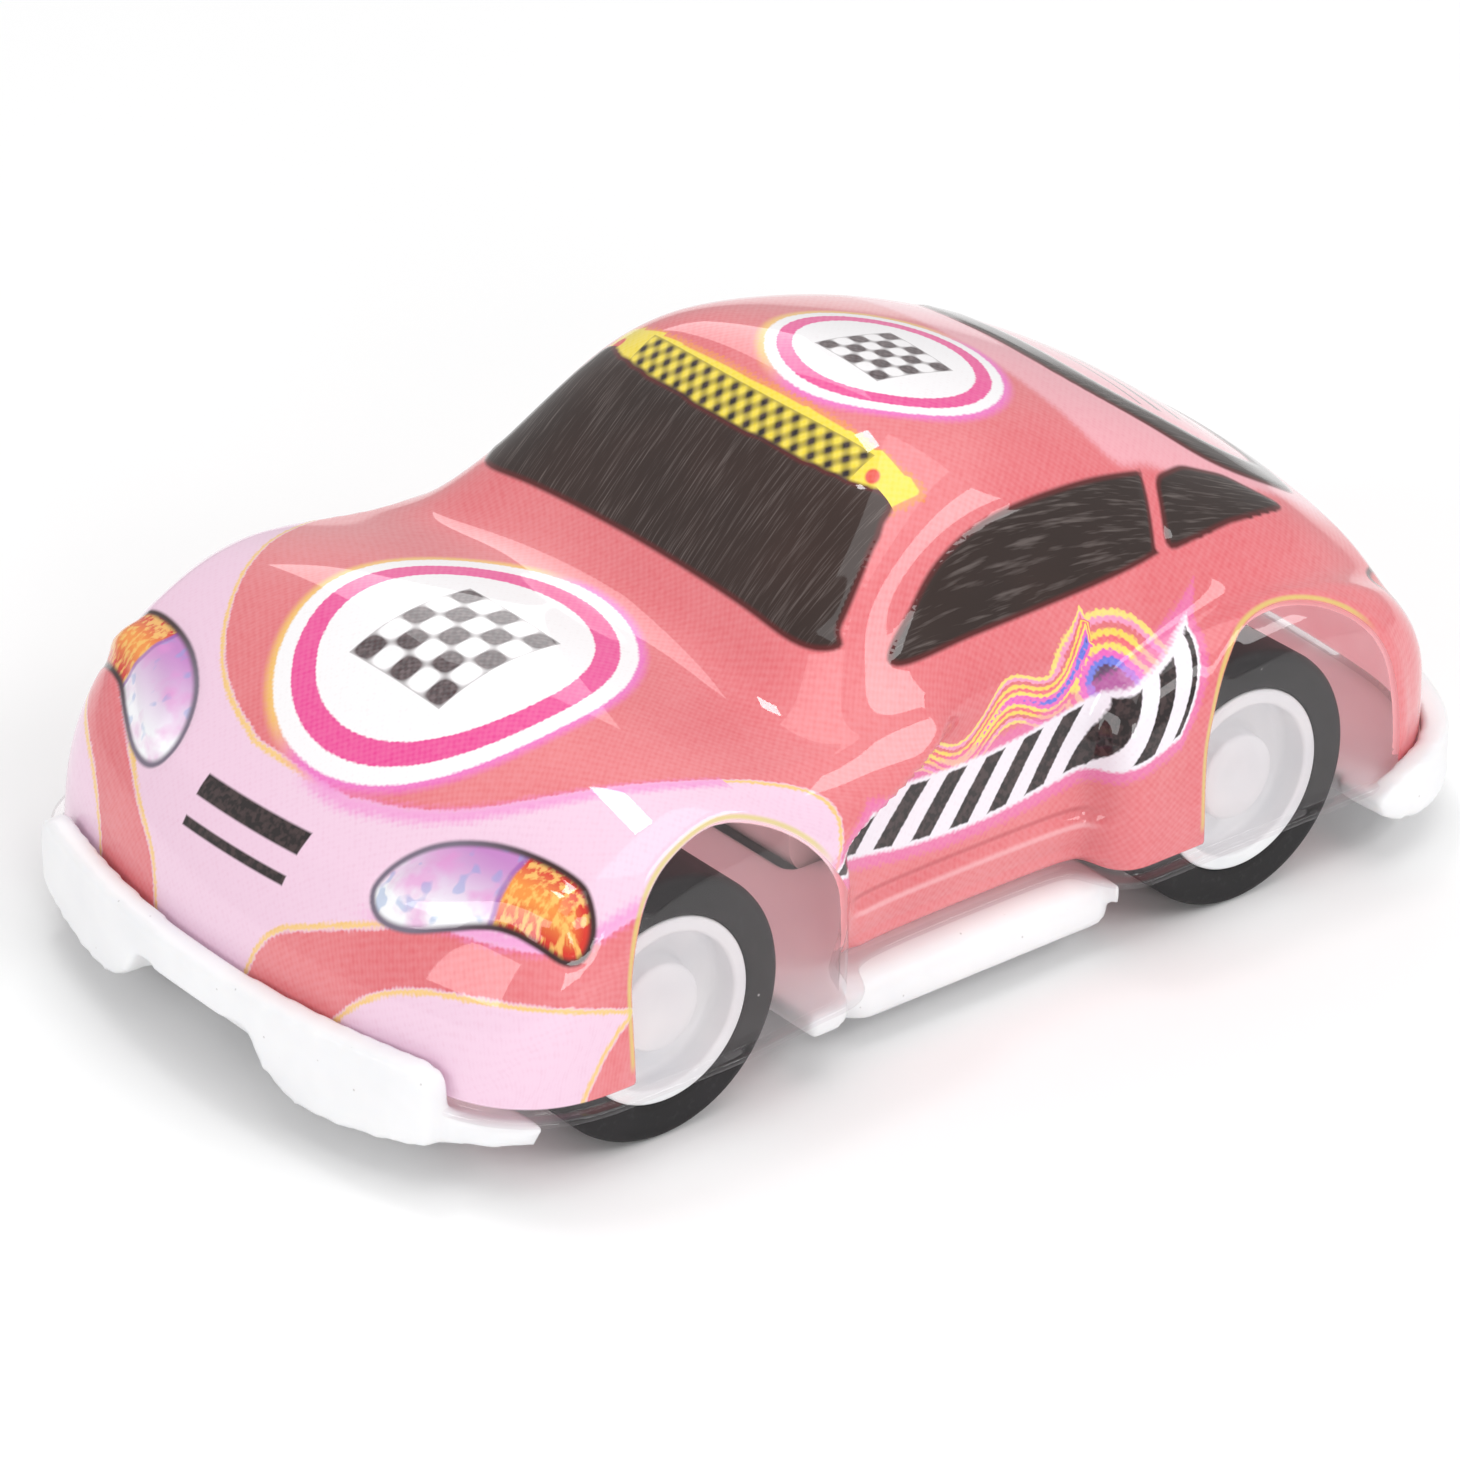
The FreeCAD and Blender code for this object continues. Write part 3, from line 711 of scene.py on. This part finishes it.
def printed_film():
    """Clear glossy film with a halftone print behind it and unprinted wheel windows."""
    m = Nodes("printed_film")
    at = {name: m.attribute(name) for name in LAYERS}
    x, y, z = m.millimetres()
    grain = m.noise(2600, 1.0)
    cloud = m.noise(90, 2.0)

    # Halftone weave: two crossed fine waves along the unrolled directions.
    wave_a = (at["run_a"] * (2 * math.pi / HALFTONE)).op("SINE")
    wave_b = (at["run_b"] * (2 * math.pi / HALFTONE)).op("SINE")
    weave = wave_a * wave_b * 0.5 + grain * 2.0
    jag = weave * 0.10 - 0.07

    coral_mask = (at["coral"] + jag * 0.8).below(0.0, 0.10)
    warm_side = (x - 1.0).below(0.0, 1.5)
    colour = m.mix(coral_mask, PALE, m.mix(cloud.span(0.35, 0.65, 0.0, 1.0), CORAL, CORAL_LIGHT))
    colour = m.mix((at["light"] + jag * 3.0).below(0.0, 0.5) * 0.8, colour, LIGHT)
    side_yellow = (at["rise"] - 40.0).below(0.0, 1.0).max(warm_side, z.below(13.0, 0.5))
    colour = m.mix(abs(at["coral"] + jag - 0.22).below(0.13, 0.10) * side_yellow * 0.85, colour,
                   YELLOW)
    violet = abs(at["coral"] + jag * 2.0 - 0.35).below(0.40, 0.35)
    colour = m.mix(violet * (1.0 - side_yellow) * 0.55, colour, MAGENTA)

    # Striped band on the doors: white ground, violet dotted halo, dark stripes.
    stripes, band = door_stripes(y, at["rise"])
    ground = band - 0.28
    swirl = at["swirl"] + jag * 1.5
    for reach, tint in SWIRL_BANDS:
        colour = m.mix(swirl.below(reach, 0.10), colour, tint)
    colour = m.mix((ground + jag * 2.5 - 0.75).below(0.0, 0.25) * 0.48, colour, MAGENTA)
    colour = m.mix((ground + jag).below(0.0, 0.15), colour, srgb(244, 238, 246))

    # Roundels on bonnet and roof.
    on_top = (-z).below(-14.0, 0.2)
    dark = (stripes + jag * 0.4).below(0.0, 0.07)
    dark_tint = m.mix(grain.span(0.42, 0.62, 0.0, 1.0), INK, srgb(66, 50, 50))
    for cx, cy, size in ROUNDELS:
        mark = roundel(x, y, cx, cy, size)
        disc = mark["disc"] + jag * 0.7
        halo_tint = m.mix(mark["side"].below(0.0, 2.5), MAGENTA, YELLOW)
        colour = m.mix((disc - 0.45).below(0.0, 0.35) * on_top * 0.85, colour, halo_tint)
        colour = m.mix(disc.below(0.0, 0.10) * on_top, colour, WHITE)
        colour = m.mix((mark["ring"] + jag * 0.5).below(0.0, 0.07) * on_top, colour, HOT_PINK)
        colour = m.mix(mark["board"].below(0.0, 0.07) * on_top, colour, dark_tint)

    # Sun strip with a warm dotted fringe at its ends.
    fringe = (at["strip"] + jag * 3.0).below(0.45, 0.2)
    colour = m.mix(fringe * 0.8, colour, srgb(240, 150, 60))
    colour = m.mix(at["strip"].below(0.0, 0.08), colour, STRIP)
    near_end = hypot(abs(x + 0.4) - 11.6, y - 2.1) - 0.42
    colour = m.mix(near_end.below(0.0, 0.1) * (-z).below(-24.0, 0.2), colour, srgb(230, 70, 44))
    strip_line = y - x * x * 0.0085 - 1.05
    strip_mark = chequer(x, strip_line, STRIP_CELL).max(
        abs(strip_line) - STRIP_CELL * 1.5, abs(x - 0.4) - 9.9, at["strip"] + 0.2)

    # Halftone grain over all the colours.
    colour = m.mix(weave.span(-0.3, 1.7, 0.0, 0.12), colour, srgb(255, 232, 238))
    colour = m.mix(weave.span(0.9, -0.7, 0.0, 0.12), colour, srgb(196, 62, 84))

    # Windows, with fine slanted scratches and a red-brown fringe.
    streaks = m.noise(1.0, 2.0, 0.6, stretch=(7600, 330, 200), turn=(0.0, 0.22, 0.10))
    pane = m.mix(streaks.span(0.52, 0.72, 0.0, 0.30), GLASS, srgb(150, 138, 134))
    pane = m.mix(cloud.span(0.4, 0.9, 0.0, 0.30), pane, srgb(90, 56, 46))
    colour = m.mix(at["pane"].below(0.12, 0.16), colour, GLASS_EDGE)
    colour = m.mix(at["pane"].below(-0.2, 0.16), colour, pane)

    # Two plain lines on the nose and thin heater lines on the rear window.
    level = z - x * 0.03
    nose = (abs(level - 14.2) - 0.5).min(abs(level - 12.4) - 0.25)
    nose = nose.max(abs(x + 1.0) - 4.8, y + 25.0)
    rear_y = y - 27.8
    rear = (abs((rear_y % HEATER_PITCH) - HEATER_PITCH / 2) - 0.2).max(
        abs(rear_y) - 2.4, abs(x) - 7.4, 18.0 - z)
    dark = dark.max(nose.below(0.0, 0.07), strip_mark.below(0.0, 0.07), rear.below(0.0, 0.07))
    # Painted shade and painted highlight on the doors: a dark line in the crease above the sill rib
    # and a pale line along the rib's top edge.
    on_door = (-abs(x)).below(-15.0, 0.2) * (abs(y - 2.0) - 8.6).below(0.0, 0.6)
    colour = m.mix(abs(z - 9.15).below(0.14, 0.12) * on_door * 0.55, colour, srgb(186, 66, 76))
    colour = m.mix(abs(z - 8.25).below(0.16, 0.14) * on_door * 0.45, colour, srgb(252, 204, 208))
    colour = m.mix(dark, colour, dark_tint)

    # Headlamps: pearl bowl inside, orange outside, dark rim.
    lamp = at["lamp"]
    across = at["lamp_along"]
    pearl = m.mix((z - 15.0).span(-0.6, 1.9, 0.0, 1.0), srgb(250, 250, 253), srgb(196, 130, 196))
    pearl = m.mix(m.noise(420, 3.0).span(0.5, 0.7, 0.0, 0.6), pearl, srgb(228, 140, 206))
    pearl = m.mix(m.noise(900, 1.0).span(0.60, 0.68, 0.0, 0.45), pearl, srgb(120, 160, 214))
    flecks = m.noise(1.0, 2.0, 0.5, stretch=(2600, 2200, 380))
    amber = m.mix(lamp.span(-0.5, -1.9, 0.0, 1.0), srgb(214, 50, 32), srgb(246, 150, 66))
    amber = m.mix(flecks.span(0.46, 0.60, 0.0, 0.75), amber, srgb(250, 206, 110))
    lens = m.mix(across.span(-0.25, 0.25, 0.0, 1.0), pearl, amber)
    lens = m.mix(abs(across).below(0.16, 0.12) * 0.6, lens, srgb(120, 80, 190))
    colour = m.mix(lamp.below(0.16, 0.14), colour,
                   m.mix(across.span(-4.5, 1.0, 0.0, 1.0), srgb(120, 108, 126), srgb(58, 28, 30)))
    colour = m.mix(lamp.below(-0.24, 0.2), colour, lens)
    colour = m.mix(at["tail_lamp"].below(0.16, 0.14), colour, srgb(80, 24, 26))
    colour = m.mix(at["tail_lamp"].below(-0.25, 0.2), colour, srgb(214, 36, 40))

    # Yellow-green print edge round the wheel windows.
    edge = abs(at["bare"] - 0.18).below(0.14, 0.12) * (-z).below(-6.5, 0.5)
    forward = y.below(-10.5, 1.0).max(y.below(30.0, 1.0) * (-y).below(-12.0, 1.0))
    colour = m.mix(edge * forward * 0.75, colour, srgb(222, 208, 110))

    bump = m.bump(cloud + grain * 0.04, 0.25, 0.00006)
    ink = m.principled(Base_Color=colour, Roughness=0.45, Specular_IOR_Level=0.2,
                       Coat_Weight=1.0, Coat_Roughness=0.03, Coat_IOR=1.5, Normal=bump)
    return m.finish(m.blend(at["bare"].below(0.0, 0.05), ink, clear_film(m, bump)))


def clear_film(m, bump):
    """Thin clear plastic: see-through, shining on its outward faces."""
    fresnel = m.tree.nodes.new("ShaderNodeFresnel")
    fresnel.inputs["IOR"].default_value = 1.5
    see = m.tree.nodes.new("ShaderNodeBsdfTransparent")
    see.inputs["Color"].default_value = (0.97, 0.955, 0.96, 1)
    shine = m.tree.nodes.new("ShaderNodeBsdfGlossy")
    shine.inputs["Roughness"].default_value = 0.04
    for node in (shine, fresnel):
        m.link(bump, node.inputs["Normal"])
    backfacing = m.value(m.tree.nodes.new("ShaderNodeNewGeometry").outputs["Backfacing"])
    amount = (m.value(fresnel.outputs[0]) + 0.02) * (1.0 - backfacing)
    return m.blend(amount, see.outputs[0], shine.outputs[0])


def print_back_painted_glow():
    """Inner face of the shell: the print seen from behind, glowing with painted light in place of
    outside light passing through the print, clear in the wheel windows.
    """
    m = Nodes("print_back_painted_glow")
    colour = m.mix(m.attribute("coral").below(0.0, 0.4), srgb(240, 214, 222), srgb(228, 168, 174))
    colour = m.mix(m.attribute("pane").below(0.0, 0.2), colour, srgb(90, 66, 62))
    colour = m.mix(m.noise(300, 2.0).span(0.3, 0.7, 0.0, 0.25), colour, srgb(244, 214, 216))
    bump = m.bump(m.noise(200, 2.0), 0.2, 0.0001)
    # Painted light: the emission makes the inner face glow in its own colour, standing in for
    # outside light that passes through the print.
    ink = m.principled(Base_Color=colour, Roughness=0.25, Normal=bump, Emission_Color=colour,
                       Emission_Strength=0.5)
    return m.finish(m.blend(m.attribute("bare").below(0.0, 0.05), ink, clear_film(m, bump)))


def white_plastic():
    """Soft white moulded plastic, faintly mottled."""
    m = Nodes("white_plastic")
    cloud = m.noise(160, 3.0)
    colour = m.mix(cloud.span(0.3, 0.7, 0.0, 1.0), srgb(238, 238, 240), srgb(247, 247, 248))
    colour = m.mix(m.specks(700, 0.05) * 0.4, colour, srgb(150, 140, 136))
    return m.finish(m.principled(Base_Color=colour, Roughness=cloud.span(0.3, 0.7, 0.28, 0.4),
                                 Subsurface_Weight=0.2, Subsurface_Radius=(0.004, 0.0035, 0.003),
                                 Subsurface_Scale=0.5, Specular_IOR_Level=0.45,
                                 Normal=m.bump(m.noise(900, 3.0), 0.15, 0.00005)))


def wheel_white():
    """Cool white moulded plastic of the wheels."""
    m = Nodes("wheel_white")
    cloud = m.noise(240, 3.0)
    colour = m.mix(cloud.span(0.3, 0.7, 0.0, 1.0), srgb(236, 239, 241), srgb(248, 249, 249))
    return m.finish(m.principled(Base_Color=colour, Roughness=0.34,
                                 Normal=m.bump(m.noise(1200, 2.0), 0.12, 0.00005)))


def black_rubber():
    """Matt black rubber with fine grain, lighter flecks and dust specks."""
    m = Nodes("black_rubber")
    grain = m.noise(2200, 3.0, 0.6)
    cloud = m.noise(180, 3.0)
    colour = m.mix(cloud.span(0.35, 0.7, 0.0, 1.0), srgb(20, 19, 20), srgb(38, 36, 38))
    colour = m.mix(grain.span(0.55, 0.7, 0.0, 0.2), colour, srgb(70, 68, 70))
    dust = m.specks(900, 0.07) * m.noise(700, 1.0).span(0.60, 0.62, 0.0, 1.0)
    colour = m.mix(dust * 0.75, colour, srgb(200, 198, 196))
    return m.finish(m.principled(Base_Color=colour, Roughness=cloud.span(0.3, 0.7, 0.5, 0.68),
                                 Specular_IOR_Level=0.4, Normal=m.bump(grain + dust, 0.2, 0.00004)))


def steel(name, dark, bright, roughness):
    """Drawn steel with lines along the rod."""
    m = Nodes(name)
    lines = m.noise(1.0, 3.0, stretch=(120, 4200, 4200))
    colour = m.mix(lines.span(0.35, 0.65, 0.0, 1.0), dark, bright)
    return m.finish(m.principled(Base_Color=colour, Metallic=1.0, Roughness=roughness,
                                 Normal=m.bump(lines, 0.2, 0.00002)))


def moulded(name, low, high, roughness):
    """Satin moulded plastic for hidden working parts."""
    m = Nodes(name)
    colour = m.mix(m.noise(300, 3.0).span(0.3, 0.7, 0.0, 1.0), low, high)
    return m.finish(m.principled(Base_Color=colour, Roughness=roughness,
                                 Normal=m.bump(m.noise(1500, 2.0), 0.2, 0.00004)))


# ---------------------------------------------------------------- shell mesh
run_a = np.zeros(X.shape)
run_a[1:] = np.cumsum(np.linalg.norm(np.diff(grid, axis=0), axis=-1), 0)
run_a -= run_a[middle]
run_b = np.zeros(X.shape)
run_b[:, 1:] = np.cumsum(np.linalg.norm(np.diff(grid, axis=1), axis=-1), 1)
run_b -= run_b[:, ALONG // 2][:, None]
light = np.minimum(np.where(Z > 14, tail_swoosh, FAR), rear_panel)
LAYERS = {
    "coral": coral, "light": light, "rise": np.where(on_side, rise, OFF_SIDE), "swirl": swirl,
    "strip": strip, "pane": glass, "lamp": lamp, "lamp_along": lamp_along, "tail_lamp": tail_lamp,
    "bare": np.minimum(clear, Z - FLANGE_TOP - 0.35), "run_a": run_a, "run_b": run_b}


OUTSIDE, INSIDE = 0, 1
# Flange section: share of its width from the shell outwards, and height from FLANGE_TOP.
FLANGE_SECTION = ((0.14, -0.02), (0.5, -0.03), (0.84, -0.03), (0.97, -0.10), (1.0, -0.22),
                  (0.97, -0.36), (0.84, -0.45), (0.3, -0.45))
OUTWARD_ROUNDS = 6


def build_shell():
    """Printed film, its inner face and its flange, as one closed mesh."""
    inner = grid[::STEP_IN, ::STEP_IN] - grid_n[::STEP_IN, ::STEP_IN] * WALL
    verts = [shell_out.reshape(-1, 3), inner.reshape(-1, 3)]
    values = {k: [v.reshape(-1), v[::STEP_IN, ::STEP_IN].reshape(-1)] for k, v in LAYERS.items()}
    faces, kinds = [], []

    def sheet(start, rows, columns, kind, flip):
        """Quads over a grid of points that starts at index start."""
        ids = start + np.arange(rows * columns).reshape(rows, columns)
        quads = np.stack([ids[:-1, :-1], ids[1:, :-1], ids[1:, 1:], ids[:-1, 1:]], -1)
        quads = quads.reshape(-1, 4)
        faces.extend((quads[:, ::-1] if flip else quads).tolist())
        kinds.extend([kind] * len(quads))

    sheet(0, ACROSS, ALONG, OUTSIDE, False)
    first_inner = ACROSS * ALONG
    rows, columns = inner.shape[:2]
    sheet(first_inner, rows, columns, INSIDE, True)

    def border(start, r, c):
        """Indices of a grid's edge points, once round."""
        ids = start + np.arange(r * c).reshape(r, c)
        return np.concatenate([ids[:-1, 0], ids[-1, :-1], ids[:0:-1, -1], ids[0, :0:-1]])

    # Flange: fillet, flat lip, rounded rim and underside, down to the inner edge.
    ring_ids = border(0, ACROSS, ALONG)
    ring = shell_out.reshape(-1, 3)[ring_ids]
    out = grid_n.reshape(-1, 3)[ring_ids].copy()
    out[:, 2] = 0
    out /= np.linalg.norm(out, axis=1, keepdims=True)
    for _ in range(OUTWARD_ROUNDS):
        out = out + 0.5 * (np.roll(out, 1, 0) + np.roll(out, -1, 0))
        out /= np.linalg.norm(out, axis=1, keepdims=True)
    reach = level_reach(ring)
    total = len(verts[0]) + len(verts[1])
    previous = ring_ids
    for share, drop in FLANGE_SECTION:
        pts = ring + (reach - ring) * share
        pts[:, 2] = FLANGE_TOP + drop
        verts.append(pts)
        for k, v in LAYERS.items():
            values[k].append(v.reshape(-1)[ring_ids])
        current = total + np.arange(len(ring))
        total += len(ring)
        faces.extend(np.stack([previous, np.roll(previous, -1), np.roll(current, -1), current], -1)
                     [:, ::-1].tolist())
        kinds.extend([OUTSIDE] * len(ring))
        previous = current
    inner_ids = border(first_inner, rows, columns)
    for i in range(len(inner_ids)):
        a, b = inner_ids[i], inner_ids[(i + 1) % len(inner_ids)]
        outer = [previous[(i * STEP_IN + k) % len(previous)] for k in range(STEP_IN + 1)]
        faces.append([b] + outer[::-1] + [a])
        kinds.append(OUTSIDE)
    points = np.concatenate(verts)
    points[inner_ids, 2] = FLANGE_BOTTOM
    obj = make_object("body_shell_look", points, [[int(i) for i in f] for f in faces],
                      [printed_film(), print_back_painted_glow()], "car")
    obj.data.polygons.foreach_set("material_index", kinds)
    for name, parts in values.items():
        data = np.concatenate(parts).astype(np.float32)
        attribute = obj.data.attributes.new(name, "FLOAT", "POINT")
        attribute.data.foreach_set("value", data)
    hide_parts("body_shell")


def level_reach(ring):
    """Where each border point meets the flange's outer edge, searched straight outwards."""
    centre = ring.copy()
    centre[:, 0] = 0
    centre[:, 1] = np.clip(ring[:, 1], SPINE[0], SPINE[1])
    way = ring - centre
    way[:, 2] = 0
    way /= np.linalg.norm(way, axis=1, keepdims=True)
    return cast(centre, way, FLANGE_WIDTH)


build_shell()

# ---------------------------------------------------------------- chassis
def soften(node, name, voxel, rounds, material):
    """Copy of a CAD node with its sharp edges rounded as a mould leaves them."""
    source = frame["nodes"][node]
    obj = bpy.data.objects.new(name, source.data.copy())
    bpy.context.scene.collection.objects.link(obj)
    obj.data.materials.clear()
    obj.data.materials.append(material)
    remesh = obj.modifiers.new("remesh", "REMESH")
    remesh.mode = "VOXEL"
    remesh.voxel_size = voxel * MM
    smooth = obj.modifiers.new("smooth", "SMOOTH")
    smooth.factor = 0.5
    smooth.iterations = rounds
    applied = bpy.data.meshes.new_from_object(
        obj.evaluated_get(bpy.context.evaluated_depsgraph_get()))
    obj.modifiers.clear()
    obj.data = applied
    obj.data.polygons.foreach_set("use_smooth", [True] * len(obj.data.polygons))
    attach(obj, source["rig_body"])
    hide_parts(node)


CHASSIS_VOXEL = 0.3
soften("chassis", "chassis_look", CHASSIS_VOXEL, 10, white_plastic())

# ---------------------------------------------------------------- wheels
TYRE_R = 8.0
RIM_R = 5.65
OUT_X = 21.9
IN_X = 15.9
HUB_R = 3.25
DISH_X = 20.35


def arc(cx, cy, radius, start, end, pieces=5):
    """Points on a circle from the start angle to the end angle, in degrees."""
    return [(cx + radius * math.cos(math.radians(a)), cy + radius * math.sin(math.radians(a)))
            for a in np.linspace(start, end, pieces)]


tyre_profile = ([(IN_X, RIM_R)] + arc(IN_X + 0.7, TYRE_R - 0.7, 0.7, 180, 90)
                + arc(OUT_X - 0.6, TYRE_R - 0.6, 0.6, 90, 0)
                + [(OUT_X, RIM_R + 0.45)] + arc(OUT_X - 0.2, RIM_R + 0.2, 0.2, 0, -90, 3))
rim_profile = ([(IN_X - 0.2, RIM_R - 0.02)] + arc(OUT_X - 0.15, RIM_R - 0.27, 0.25, 90, 0)
               + arc(OUT_X - 0.12, RIM_R - 0.72, 0.22, 20, -80)
               + arc(DISH_X, RIM_R - 1.30, 0.55, 70, 180)
               + arc(DISH_X, HUB_R, 0.55, 180, 250)
               + arc(21.2, 2.35, 0.3, 100, 20) + [(21.58, 1.6), (21.35, 0.9), (21.3, 0)]
               + [(15.5, 0), (15.5, 1.9), (18.7, 2.1), (18.7, RIM_R - 1.1),
                  (IN_X - 0.2, RIM_R - 0.9)])
rubber = black_rubber()
rim_material = wheel_white()
for end, y, body in (("front", FRONT_AXLE_Y, "front_wheels"), ("rear", REAR_AXLE_Y, "rear_wheels")):
    for side, side_name in ((1, "left"), (-1, "right")):
        tyre = revolve("tyre_%s_%s_look" % (end, side_name), tyre_profile, y, rubber, body,
                       side)
        rim = revolve("wheel_%s_%s_look" % (end, side_name), rim_profile, y, rim_material, body,
                      side)
        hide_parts("tyre_%s_%s" % (end, side_name))
        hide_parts("wheel_%s_%s" % (end, side_name))

# ---------------------------------------------------------------- carried-over working parts
finishes = {
    "axle": steel("axle_steel", srgb(150, 150, 154), srgb(206, 206, 210), 0.3),
    "spring": steel("spring_steel", srgb(70, 76, 92), srgb(128, 134, 148), 0.35),
    "case": moulded("motor_case_plastic", srgb(226, 226, 222), srgb(240, 240, 238), 0.45),
    "gear": moulded("gear_plastic", srgb(232, 226, 206), srgb(244, 240, 226), 0.4)}
for names, key in ((("front_axle", "rear_axle", "transfer_pin", "spring_arbor"), "axle"),
                   (("mainspring",), "spring"),
                   (("motor_case_left", "motor_case_right"), "case"),
                   (("axle_pinion", "transfer_gear", "spring_gear"), "gear")):
    for name in names:
        node = frame["nodes"][name]
        node.data.materials.clear()
        node.data.materials.append(finishes[key])

# ---------------------------------------------------------------- stage, lights and camera
FLOOR_HALF = 3.0
WORLD_STRENGTH = 0.47
LOOK_AT = (0, 0, 0.015)
# Place, size and power of each softbox.
SOFTBOXES = {
    "key_top": ((0.10, 0.05, 0.55), (0.50, 0.36), 0.85),
    "left_front": ((0.52, -0.24, 0.20), (0.16, 0.20), 0.62),
    "front": ((-0.05, -0.55, 0.22), (0.30, 0.20), 0.75),
    "left_back": ((0.42, 0.23, 0.40), (0.46, 0.14), 0.95),
    "top_patch": ((-0.20, 0.05, 0.62), (0.10, 0.10), 0.40),
    "right_back": ((-0.45, 0.25, 0.35), (0.25, 0.30), 0.45)}
# Camera turn and rise in degrees, distance in metres, focal length and frame in pixels.
AZIMUTH, ELEVATION, DISTANCE, FOCAL_PX, FRAME_PX = 51.6, 28.3, 0.405, 7000.0, 1460.0
SENSOR_MM = 36.0


def stage_floor():
    """Plain pale floor under the car."""
    m = Nodes("stage_floor")
    material = m.finish(m.principled(Base_Color=(0.95, 0.95, 0.95, 1), Roughness=0.9,
                                     Specular_IOR_Level=0.1))
    mesh = bpy.data.meshes.new("stage_floor")
    h = FLOOR_HALF
    mesh.from_pydata([(-h, -h, 0), (h, -h, 0), (h, h, 0), (-h, h, 0)], [], [(0, 1, 2, 3)])
    mesh.materials.append(material)
    obj = bpy.data.objects.new("stage_floor", mesh)
    bpy.context.scene.collection.objects.link(obj)


def softbox(name, at, target, size, power):
    """Rectangular area light at a point in metres, turned to the target; power is in watts."""
    data = bpy.data.lights.new(name, "AREA")
    data.shape = "RECTANGLE"
    data.size, data.size_y = size
    data.energy = power
    obj = bpy.data.objects.new(name, data)
    obj.location = at
    obj.rotation_euler = (Vector(target) - Vector(at)).to_track_quat("-Z", "Y").to_euler()
    bpy.context.scene.collection.objects.link(obj)


stage_floor()
world = bpy.data.worlds.new("studio")
world.use_nodes = True
world.node_tree.nodes["Background"].inputs[0].default_value = (1, 1, 1, 1)
world.node_tree.nodes["Background"].inputs[1].default_value = WORLD_STRENGTH
bpy.context.scene.world = world
bpy.context.scene.view_settings.view_transform = "Standard"
for light_name, (light_at, light_size, light_power) in SOFTBOXES.items():
    softbox(light_name, light_at, LOOK_AT, light_size, light_power)

a, e = math.radians(AZIMUTH), math.radians(ELEVATION)
back = Vector((math.sin(a) * math.cos(e), -math.cos(a) * math.cos(e), math.sin(e)))
target = Vector((1.66, -0.49 + shift_y, 10.0)) * MM
camera = bpy.data.cameras.new("camera")
camera.sensor_width = SENSOR_MM
camera.lens = FOCAL_PX / FRAME_PX * SENSOR_MM
camera.clip_start = 0.01
camera_obj = bpy.data.objects.new("camera", camera)
camera_obj.location = target + back * DISTANCE
camera_obj.rotation_euler = (-back).to_track_quat("-Z", "Y").to_euler()
bpy.context.scene.collection.objects.link(camera_obj)
bpy.context.scene.camera = camera_obj
